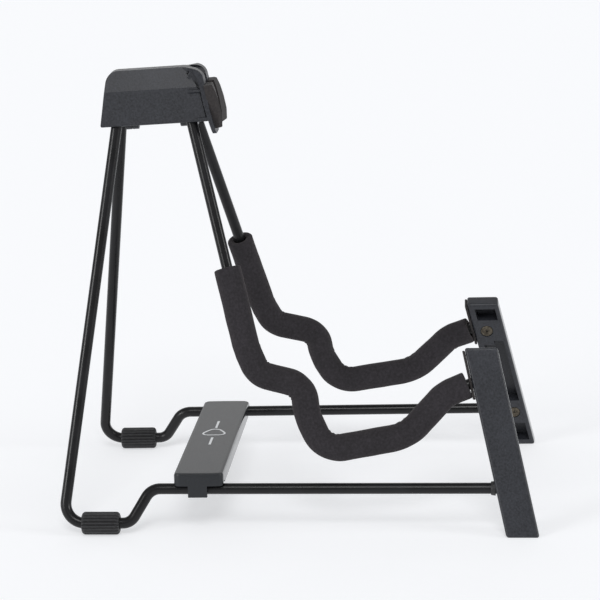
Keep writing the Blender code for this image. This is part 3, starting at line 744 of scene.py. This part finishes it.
def buildRailCollar(label, side):   # the rubber bush where the low rail goes into the post
    bore, radius, length = railCollar["bore"], railCollar["radius"], railCollar["length"]
    bm = turned([(bore, 0), (radius, 0), (radius - 0.4 * mm, length), (bore, length)], 36, True)
    soften(bm, 0.4 * mm, 2, 60)
    down = rod["railDrop"] * mm
    place = Matrix.Translation(at(postRear(down) + 0.1 * mm, down))
    bmesh.ops.transform(bm, matrix=place @ Matrix.Rotation(math.radians(-90), 4, 'X'),
                        verts=bm.verts)
    faceOut(bm)
    finishPiece("railCollar_" + label, bm, footRubber, label + "_frame", sidePlace(side), side)


postPad = {"span": (206.0 * mm, 241.0 * mm), "thick": 1.8 * mm, "edge": 0.6 * mm,
           "armSlack": 0.3 * mm}


def buildPostPad(label, side):
    top, bottom = postPad["span"]

    def corner(x, y, z):
        down = top if z > 0 else bottom
        across = -0.3 * mm if y > 0 else -0.3 * mm - postPad["thick"]
        out = post["outer"] - 0.6 * mm if x > 0 else post["inner"] + 0.6 * mm
        return at(postRear(down) + across, down, out)

    bm = soften(cornerBlock(corner), postPad["edge"], 3)
    bm = combine(bm, armEndBore(postPad["armSlack"]))
    finishPiece("postPad_" + label, bm, padRubber, label + "_frame", sidePlace(side), side,
                stands=["post_pad_" + label], flat=True)


for label, side in bothSides:
    buildPost(label, side)
    buildPostPad(label, side)
    buildRailCollar(label, side)
print("posts up")


head = {
    "inner": 0.2 * mm,
    "side": [((41.0, 40.5), 0), ((47.2, 2.0), 9), ((116.4, 2.0), 16), ((121.5, 40.5), 0)],
    "facets": [((4.5, 2.0), (12.3, 16.0)), ((12.3, 16.0), (20.1, 40.5))],
    "edge": 1.1 * mm,
    "rearEdge": 1.7 * mm,
    "cavity": [(-1.0, 8.0), (5.2, 8.0), (10.1, 16.4), (16.9, 37.1), (-1.0, 37.1)],
    "cavitySpan": (50 * mm, 112 * mm),
    "flangeOuter": [((100.0, 2.5), 0), ((117.4, 2.5), 10), ((119.6, 17.0), 20),
                    ((121.5, 31.0), 30), ((125.6, 49.5), 0)],
    "flangeInner": [((100.0, 4.9), 0), ((112.8, 4.9), 6), ((115.6, 17.0), 25),
                    ((117.4, 28.0), 30), ((122.8, 49.5), 0)],
    "flangeFront": [((4.0, 0.5), 0), ((12.9, 0.5), 3.0), ((15.8, 16.0), 14), ((21.8, 41.0), 8),
                    ((21.4, 50.3), 5), ((3.8, 50.3), 3), ((3.5, 18.0), 6), ((4.0, 9.0), 3),
                    ((7.0, 5.0), 2)],
    "flare": [((3.0, 98.0), 0), ((7.0, 106.5), 12), ((13.0, 112.0), 10), ((26.0, 113.5), 0),
              ((26.0, 130.0), 0), ((3.0, 130.0), 0)],   # the ears seen from above
    "earWeb": [(106.0, 9.0), (108.5, 4.2), (113.0, 4.2), (115.2, 9.5), (118.0, 18.0),
               (110.0, 14.0)],
    "groove": [((105.5, 6.2), 0), ((110.8, 5.6), 3), ((115.2, 12.0), 5), ((117.0, 20.0), 10),
               ((121.8, 42.0), 0), ((119.4, 42.0), 0), ((114.9, 20.0), 10), ((111.6, 13.0), 5),
               ((107.0, 8.2), 3)],       # the dark channel behind the flange
    "grooveDeep": 2.2 * mm,
    "ledges": [(106.6, 115.8, 18.6), (112.9, 120.4, 38.2)],   # rear, front, drop
    "ledgeProud": 1.9 * mm,
    "rodSlack": 0.6 * mm,
    "knuckles": (57.0 * mm, 97.4 * mm),
    "knuckleWidth": 4.6 * mm,
    "knuckleRadius": 4.3 * mm,
    "knuckleWeb": [(0.6, 38.2), (6.5, 38.2), (6.5, 40.0), (2.5, 44.5)],
    "seatRadius": 4.8 * mm,
    "pinBore": 2.3 * mm,
    "hingeDrop": 42.0 * mm,
}


def headPrism(points, start, end):   # a front view pushed along the hinge line
    return prism([at(start, drop, x) for x, drop in points], (0, start - end, 0))


def sidePrism(path, out, thick):     # a side view pushed outwards
    return prism([at(along, drop, out) for along, drop in path], (thick, 0, 0))


def alongHinge(start, end, radius):
    return rodBetween(at(start, head["hingeDrop"]), at(end, head["hingeDrop"]), radius)


def cutFlat(bm, spot, normal):       # slices the solid and closes the cut
    bmesh.ops.bisect_plane(bm, geom=everything(bm), dist=0.001 * mm, plane_co=spot,
                           plane_no=normal, clear_outer=True)
    bmesh.ops.holes_fill(bm, edges=openEdges(bm), sides=0)


def facetAt(drop):                   # the sloping side's distance out at this drop
    for (x0, d0), (x1, d1) in head["facets"]:
        if drop <= d1:
            return x0 + (x1 - x0) * (drop - d0) / (d1 - d0)
    return head["facets"][-1][1][0]


def headBody():
    bm = sidePrism(roundedPath(inMetres(head["side"]), 14), head["inner"], 26 * mm)
    for (x0, drop0), (x1, drop1) in head["facets"]:
        normal = Vector((drop1 - drop0, 0, x1 - x0)).normalized()
        cutFlat(bm, Vector((x0 * mm, 0, -drop0 * mm)), normal)
    faceOut(bm)
    rearEnd = [v for v in bm.verts if v.co.y > -44 * mm or v.co.z < -39 * mm]
    soften(bm, head["rearEdge"], 4, 40, lambda e: all(v in rearEnd for v in e.verts)
           and e.calc_length() > 5 * mm)
    return soften(bm, head["edge"], 4, 9, lambda e: e.calc_length() > 1.5 * mm)


def headGroove():                    # what is left of the channel once the body's core is kept
    groove = sidePrism(roundedPath(inMetres(head["groove"]), 5), 0, 30 * mm)
    deep = head["grooveDeep"]
    slant = [(4.5, 0.0), (12.3, 16.0), (20.1, 40.5), (21.6, 48.0)]
    core = [(-10 * mm, 0.0)] + [(x * mm - deep, drop * mm) for x, drop in slant]
    return combine(groove, headPrism(core + [(-10 * mm, 48 * mm)], 90 * mm, 135 * mm))


def headFlange():                    # cut to its front view, then to its ears from above
    path = (roundedPath(inMetres(head["flangeOuter"]), 14)
            + roundedPath(inMetres(head["flangeInner"]), 14)[::-1])
    front = headPrism(roundedPath(inMetres(head["flangeFront"]), 6), 95 * mm, 135 * mm)
    flange = combine(sidePrism(path, -1 * mm, 30 * mm), front, 'INTERSECT')
    flare = prism([at(along, 0, x) for x, along in roundedPath(inMetres(head["flare"]), 8)],
                  (0, 0, -60 * mm))
    return soften(combine(flange, flare, 'INTERSECT'), 0.7 * mm, 3, 40)


def buildHeadHalf(label, side):
    bm = combine(headBody(), headGroove())
    bm = combine(bm, headFlange(), 'UNION')
    web = sidePrism([(along * mm, drop * mm) for along, drop in head["earWeb"]], 5.5 * mm,
                    4 * mm)
    bm = combine(bm, soften(web, 0.5 * mm, 2, 50), 'UNION')
    for start, end, drop in head["ledges"]:   # gussets from the side to the flange
        out = facetAt(drop) * mm
        low = (out - 3.5 * mm, -end * mm, -(drop + 1.0) * mm)
        high = (out + head["ledgeProud"], -start * mm, -(drop - 1.0) * mm)
        bm = combine(bm, soften(box(low, high), 0.5 * mm, 3), 'UNION')
    cavity = [(x * mm, drop * mm) for x, drop in head["cavity"]]
    bm = combine(bm, headPrism(cavity, *head["cavitySpan"]))
    toHead = headPlace.inverted() @ sidePlace(side)
    rearLeg = (rod["rearCorner"], footDrop)
    for top, foot in ((rod["head"][0][0], rod["arm"][-1][0]), (rod["head"][1][0], rearLeg)):
        high, run = spotAt(top), (spotAt(foot) - spotAt(top)).normalized()
        ends = [mirrored(side) @ (toHead @ (high + run * reach)) for reach in (8 * mm, 45 * mm)]
        bm = combine(bm, rodBetween(*ends, rod["radius"] + head["rodSlack"]))
    bm = combine(bm, alongHinge(30 * mm, 140 * mm, head["seatRadius"]))
    for rearEnd in head["knuckles"]:
        start = rearEnd if side < 0 else rearEnd + head["knuckleWidth"] + 0.4 * mm
        end = start + head["knuckleWidth"]
        knuckle = soften(alongHinge(start, end, head["knuckleRadius"]), 0.35 * mm, 2, 60)
        bm = combine(bm, knuckle, 'UNION')
        web = headPrism([(x * mm, drop * mm) for x, drop in head["knuckleWeb"]], start, end)
        bm = combine(bm, web, 'UNION')
    bm = combine(bm, alongHinge(30 * mm, 140 * mm, head["pinBore"]))
    finishPiece("headShell_" + label, bm, gritMoulding, label + "_frame", headPlace, side,
                stands=["head_shell_" + label], flat=True)


headPad = {
    "face": [((118.6, 14.6), 0), ((124.6, 14.4), 1.0), ((126.8, 20.0), 20), ((128.7, 28.0), 20),
             ((130.1, 37.5), 15), ((129.7, 46.0), 1.2), ((123.0, 46.0), 0)],
    "across": (4.0 * mm, 18.0 * mm),
    "chamfer": 2.2 * mm,           # the slope along the outer edge
    "setBack": 2.0 * mm,
    "thinning": 0.3,               # share of the thickness lost at the inner edge
    "back": 122.2 * mm,
    "edge": 0.6 * mm,
}


def buildHeadPad(label, side):
    low, high = headPad["across"]
    bm = sidePrism(roundedPath(inMetres(headPad["face"]), 6), low, high - low)
    bmesh.ops.bisect_plane(bm, geom=everything(bm), dist=0.001 * mm, plane_no=(1, 0, 0),
                           plane_co=(high - headPad["chamfer"], 0, 0))
    for vert in bm.verts:
        proud = -vert.co.y - headPad["back"]
        if proud > 1.5 * mm and vert.co.x > high - 0.1 * mm:
            vert.co.y += min(headPad["setBack"], 0.8 * proud)
        elif proud > 1.5 * mm and vert.co.x < low + 0.1 * mm:
            vert.co.y += headPad["thinning"] * proud
    faceOut(bm)
    soften(bm, headPad["edge"], 3, 18, lambda e: e.calc_length() > 1.0 * mm)
    finishPiece("headPad_" + label, bm, padRubber, label + "_frame", headPlace, side,
                stands=["head_pad_" + label], flat=True)


coverScrew = {
    "places": {"upper": (72.0, 13.0), "lower": (80.0, 32.0)},
    "size": (2.6 * mm, 1.4 * mm, 1.3 * mm, 5.2 * mm, 0.95 * mm),
    "start": 0.45 * mm,
}

for label, side in bothSides:
    buildHeadHalf(label, side)
    buildHeadPad(label, side)
    buildScrews("cover", coverScrew, label, side, headPlace)
print("head closed")


bar = {
    "half": 99.6 * mm,
    "rear": 95.0 * mm,
    "front": 131.0 * mm,
    "leftTop": 45.6 * mm,
    "rightTop": 38.7 * mm,
    "deep": 9.5 * mm,
    "wall": 2.0 * mm,
    "corner": 4.2 * mm,
    "bulge": 0.8 * mm,
    "edge": 2.1 * mm,
    "hookWidth": 14.0 * mm,
    "hookMiddle": 112.2 * mm,
    "railSlack": ((-1, 2.4 * mm), (1, 0.6 * mm)),   # loose on the left rail, snug on the right
    "tongueFrom": 4.9 * mm,      # outside the middle of the rail
    "lip": (2.6 * mm, 6.4 * mm),
    "footGap": 0.5 * mm,
}
slope = math.atan2(bar["leftTop"] - bar["rightTop"], 2 * bar["half"])
barMiddle = Vector((0, apex.y, (bar["leftTop"] + bar["rightTop"]) / 2))
barPlace = Matrix.Translation(barMiddle) @ Matrix.Rotation(slope, 4, 'Y')


def buildCrossbar():
    bm = box((-bar["half"], -bar["front"], -bar["deep"]), (bar["half"], -bar["rear"], 0))
    bowed = [e for e in bm.edges if abs(e.verts[0].co.y - e.verts[1].co.y) > 1 * mm]
    bmesh.ops.subdivide_edges(bm, edges=bowed, cuts=7, use_grid_fill=True)
    middle = -(bar["front"] + bar["rear"]) / 2
    halfWide = (bar["front"] - bar["rear"]) / 2
    for vert in bm.verts:
        if abs(abs(vert.co.x) - bar["half"]) < 0.1 * mm:
            share = 1 - ((vert.co.y - middle) / halfWide) ** 2
            vert.co.x += math.copysign(bar["bulge"] * share, vert.co.x)
    upright = [e for e in bm.edges if abs(e.verts[0].co.z - e.verts[1].co.z) > 5 * mm
               and abs(abs(e.verts[0].co.y - middle) - halfWide) < 0.1 * mm]
    bevelEdges(bm, upright, bar["corner"], 6)
    top = [e for e in bm.edges if all(abs(v.co.z) < 0.01 * mm for v in e.verts)
           and e.calc_face_angle(0) > 1]
    bevelEdges(bm, top, bar["edge"], 2)
    wall = bar["wall"]
    hollow = box((wall - bar["half"], wall - bar["front"], -2 * bar["deep"]),
                 (bar["half"] - wall, -bar["rear"] - wall, -wall))
    uprightInside = [e for e in hollow.edges
                     if abs(e.verts[0].co.z - e.verts[1].co.z) > 5 * mm]
    bevelEdges(hollow, uprightInside, bar["corner"] - wall, 4)
    bm = combine(bm, hollow)
    toBar = barPlace.inverted()
    half = bar["hookWidth"] / 2
    for side, slack in bar["railSlack"]:
        rail, start, end = (toBar @ (sidePlace(side) @ at(x * mm, rod["railDrop"] * mm))
                            for x in (bar["hookMiddle"] / mm, 60, 170))
        bm = combine(bm, rodBetween(start, end, rod["radius"] + slack))
        if side > 0:            # the right end is open towards the middle
            bm = combine(bm, box((rail.x - 9 * mm, -170 * mm, -bar["deep"] - 9 * mm),
                                 (rail.x + rod["radius"] + slack, -60 * mm, rail.z)))
        near, far = sorted((rail.x + side * bar["tongueFrom"],
                            side * (bar["half"] + bar["bulge"])))
        foot = rail.z - rod["radius"] - bar["footGap"]
        tongue = box((near, -bar["hookMiddle"] - half, foot),
                     (far, -bar["hookMiddle"] + half, -2.2 * mm))
        bm = combine(bm, soften(tongue, 0.5 * mm, 3), 'UNION')
        near, far = sorted(rail.x + side * reach for reach in bar["lip"])
        lip = box((near, -bar["hookMiddle"] - half + 0.6 * mm, foot),
                  (far, -bar["hookMiddle"] + half - 0.6 * mm, foot + 0.8 * mm))
        bm = combine(bm, soften(lip, 0.3 * mm, 2), 'UNION')
    bm.normal_update()
    for face in bm.faces:       # the long sides come out of the mould glossier
        if abs(face.normal.y) > 0.9:
            face.material_index = 1
    finishPiece("crossbarTray", bm, (fineMoulding, glossMoulding), "crossbar", barPlace,
                stands=["crossbar"], flat=True)


def buildMotif():               # a plain plectrum between two dashes, printed on the bar
    motif = {"size": 8.6 * mm, "line": 1.5 * mm, "middle": (7 * mm, -113 * mm),
             "dash": (19 * mm, 1.8 * mm), "dashFrom": 13 * mm, "ink": 0.06 * mm}
    bm = bmesh.new()
    bmesh.ops.create_circle(bm, cap_ends=True, segments=60, radius=motif["size"])
    for vert in bm.verts:       # a circle drawn into a rounded triangle, point towards +x
        turn = math.atan2(vert.co.y, vert.co.x)
        vert.co *= 1 + 0.13 * math.cos(3 * turn) + 0.06 * math.cos(turn)
    bmesh.ops.inset_region(bm, faces=list(bm.faces), thickness=motif["line"],
                           use_boundary=True, use_even_offset=True)
    middle = [f for f in bm.faces if len(f.verts) > 4]
    bmesh.ops.delete(bm, geom=middle, context='FACES')
    long, wide = motif["dash"]
    for way in (-1, 1):
        made = bmesh.ops.create_grid(bm, x_segments=1, y_segments=1, size=0.5)["verts"]
        bmesh.ops.scale(bm, vec=(long, wide, 1), verts=made)
        bmesh.ops.translate(bm, vec=(way * (motif["dashFrom"] + long / 2), 0, 0), verts=made)
    pushed = bmesh.ops.extrude_face_region(bm, geom=list(bm.faces))["geom"]
    bmesh.ops.translate(bm, vec=(0, 0, motif["ink"]), verts=vertsIn(pushed))
    bmesh.ops.translate(bm, vec=(*motif["middle"], 0.01 * mm), verts=bm.verts)
    faceOut(bm)
    finishPiece("printedPlectrum", bm, printInk, "crossbar", barPlace)


buildCrossbar()
buildMotif()
print("crossbar on")

keptAsMade = {                  # pieces whose own mesh is fine enough
    "head_cover_left": (gritMoulding, "moulding"),
    "head_cover_right": (gritMoulding, "moulding"),
    "hinge_pin": (pinSteel, "pin_steel"),
    "pin_clip_front": (pinSteel, "pin_steel"),
    "pin_clip_rear": (pinSteel, "pin_steel"),
}
for name, (surface, slotName) in keptAsMade.items():
    nodes[name].data.materials.clear()
    nodes[name].data.materials.append(surface)


def buildStage():
    studio = {"floor": "#c6c7c9", "glowColour": "#f6f7f9", "glow": 0.53, "sky": "#f6f7f9",
              "skyStrength": 0.4}
    bm = bmesh.new()
    bmesh.ops.create_grid(bm, x_segments=8, y_segments=8, size=14)
    mesh = bpy.data.meshes.new("studioFloor")
    bm.to_mesh(mesh)
    bm.free()
    floor = bpy.data.objects.new("studioFloor", mesh)
    bpy.context.scene.collection.objects.link(floor)
    paper = startMaterial("paleSeamlessPaper", {    # matt, and lit a little from within
        "Base Color": srgb(studio["floor"]), "Roughness": 1.0, "Specular IOR Level": 0.0,
        "Emission Color": srgb(studio["glowColour"]), "Emission Strength": studio["glow"]})[0]
    mesh.materials.append(paper)
    world = bpy.data.worlds.new("studioAir")
    world.use_nodes = True
    back = world.node_tree.nodes["Background"]
    back.inputs["Color"].default_value = srgb(studio["sky"])
    back.inputs["Strength"].default_value = studio["skyStrength"]
    bpy.context.scene.world = world
    bpy.context.scene.view_settings.view_transform = 'Standard'


def addSoftLight(name, towards, spread, strength):  # a wide source far off, even on the floor
    data = bpy.data.lights.new(name, 'SUN')
    data.angle = math.radians(spread)
    data.energy = strength
    lamp = bpy.data.objects.new(name, data)
    bpy.context.scene.collection.objects.link(lamp)
    lamp.rotation_euler = Vector(towards).to_track_quat('Z', 'Y').to_euler()


def buildCamera():
    shot = {"azimuth": math.radians(-85.126), "elevation": math.radians(14.818),
            "roll": math.radians(-1.951), "distance": 1.8576, "lens": 150.0,
            "target": (0, apex.y - 0.18226, 0.14706)}
    az, el = shot["azimuth"], shot["elevation"]
    look = Vector((-math.sin(az) * math.cos(el), math.cos(az) * math.cos(el), -math.sin(el)))
    right = look.cross(Vector((0, 0, 1))).normalized()
    up = right.cross(look)
    c, s = math.cos(shot["roll"]), math.sin(shot["roll"])
    right, up = right * c + up * s, up * c - right * s
    turn = Matrix((right, up, -look)).transposed().to_4x4()
    data = bpy.data.cameras.new("camera")
    data.lens = shot["lens"]
    data.sensor_width = 36.0
    camera = bpy.data.objects.new("camera", data)
    bpy.context.scene.collection.objects.link(camera)
    away = Vector(shot["target"]) - look * shot["distance"]
    camera.matrix_world = Matrix.Translation(away) @ turn
    bpy.context.scene.camera = camera


buildStage()
addSoftLight("keyLight", (-0.66, -0.06, 0.77), 24, 0.95)
addSoftLight("backLight", (1.0, 0.1, 0.28), 50, 0.45)
addSoftLight("rearLight", (-0.62, 0.78, 0.3), 22, 1.1)
addSoftLight("frontLight", (-0.24, -0.97, 0.3), 18, 0.8)
buildCamera()
print("stage set")
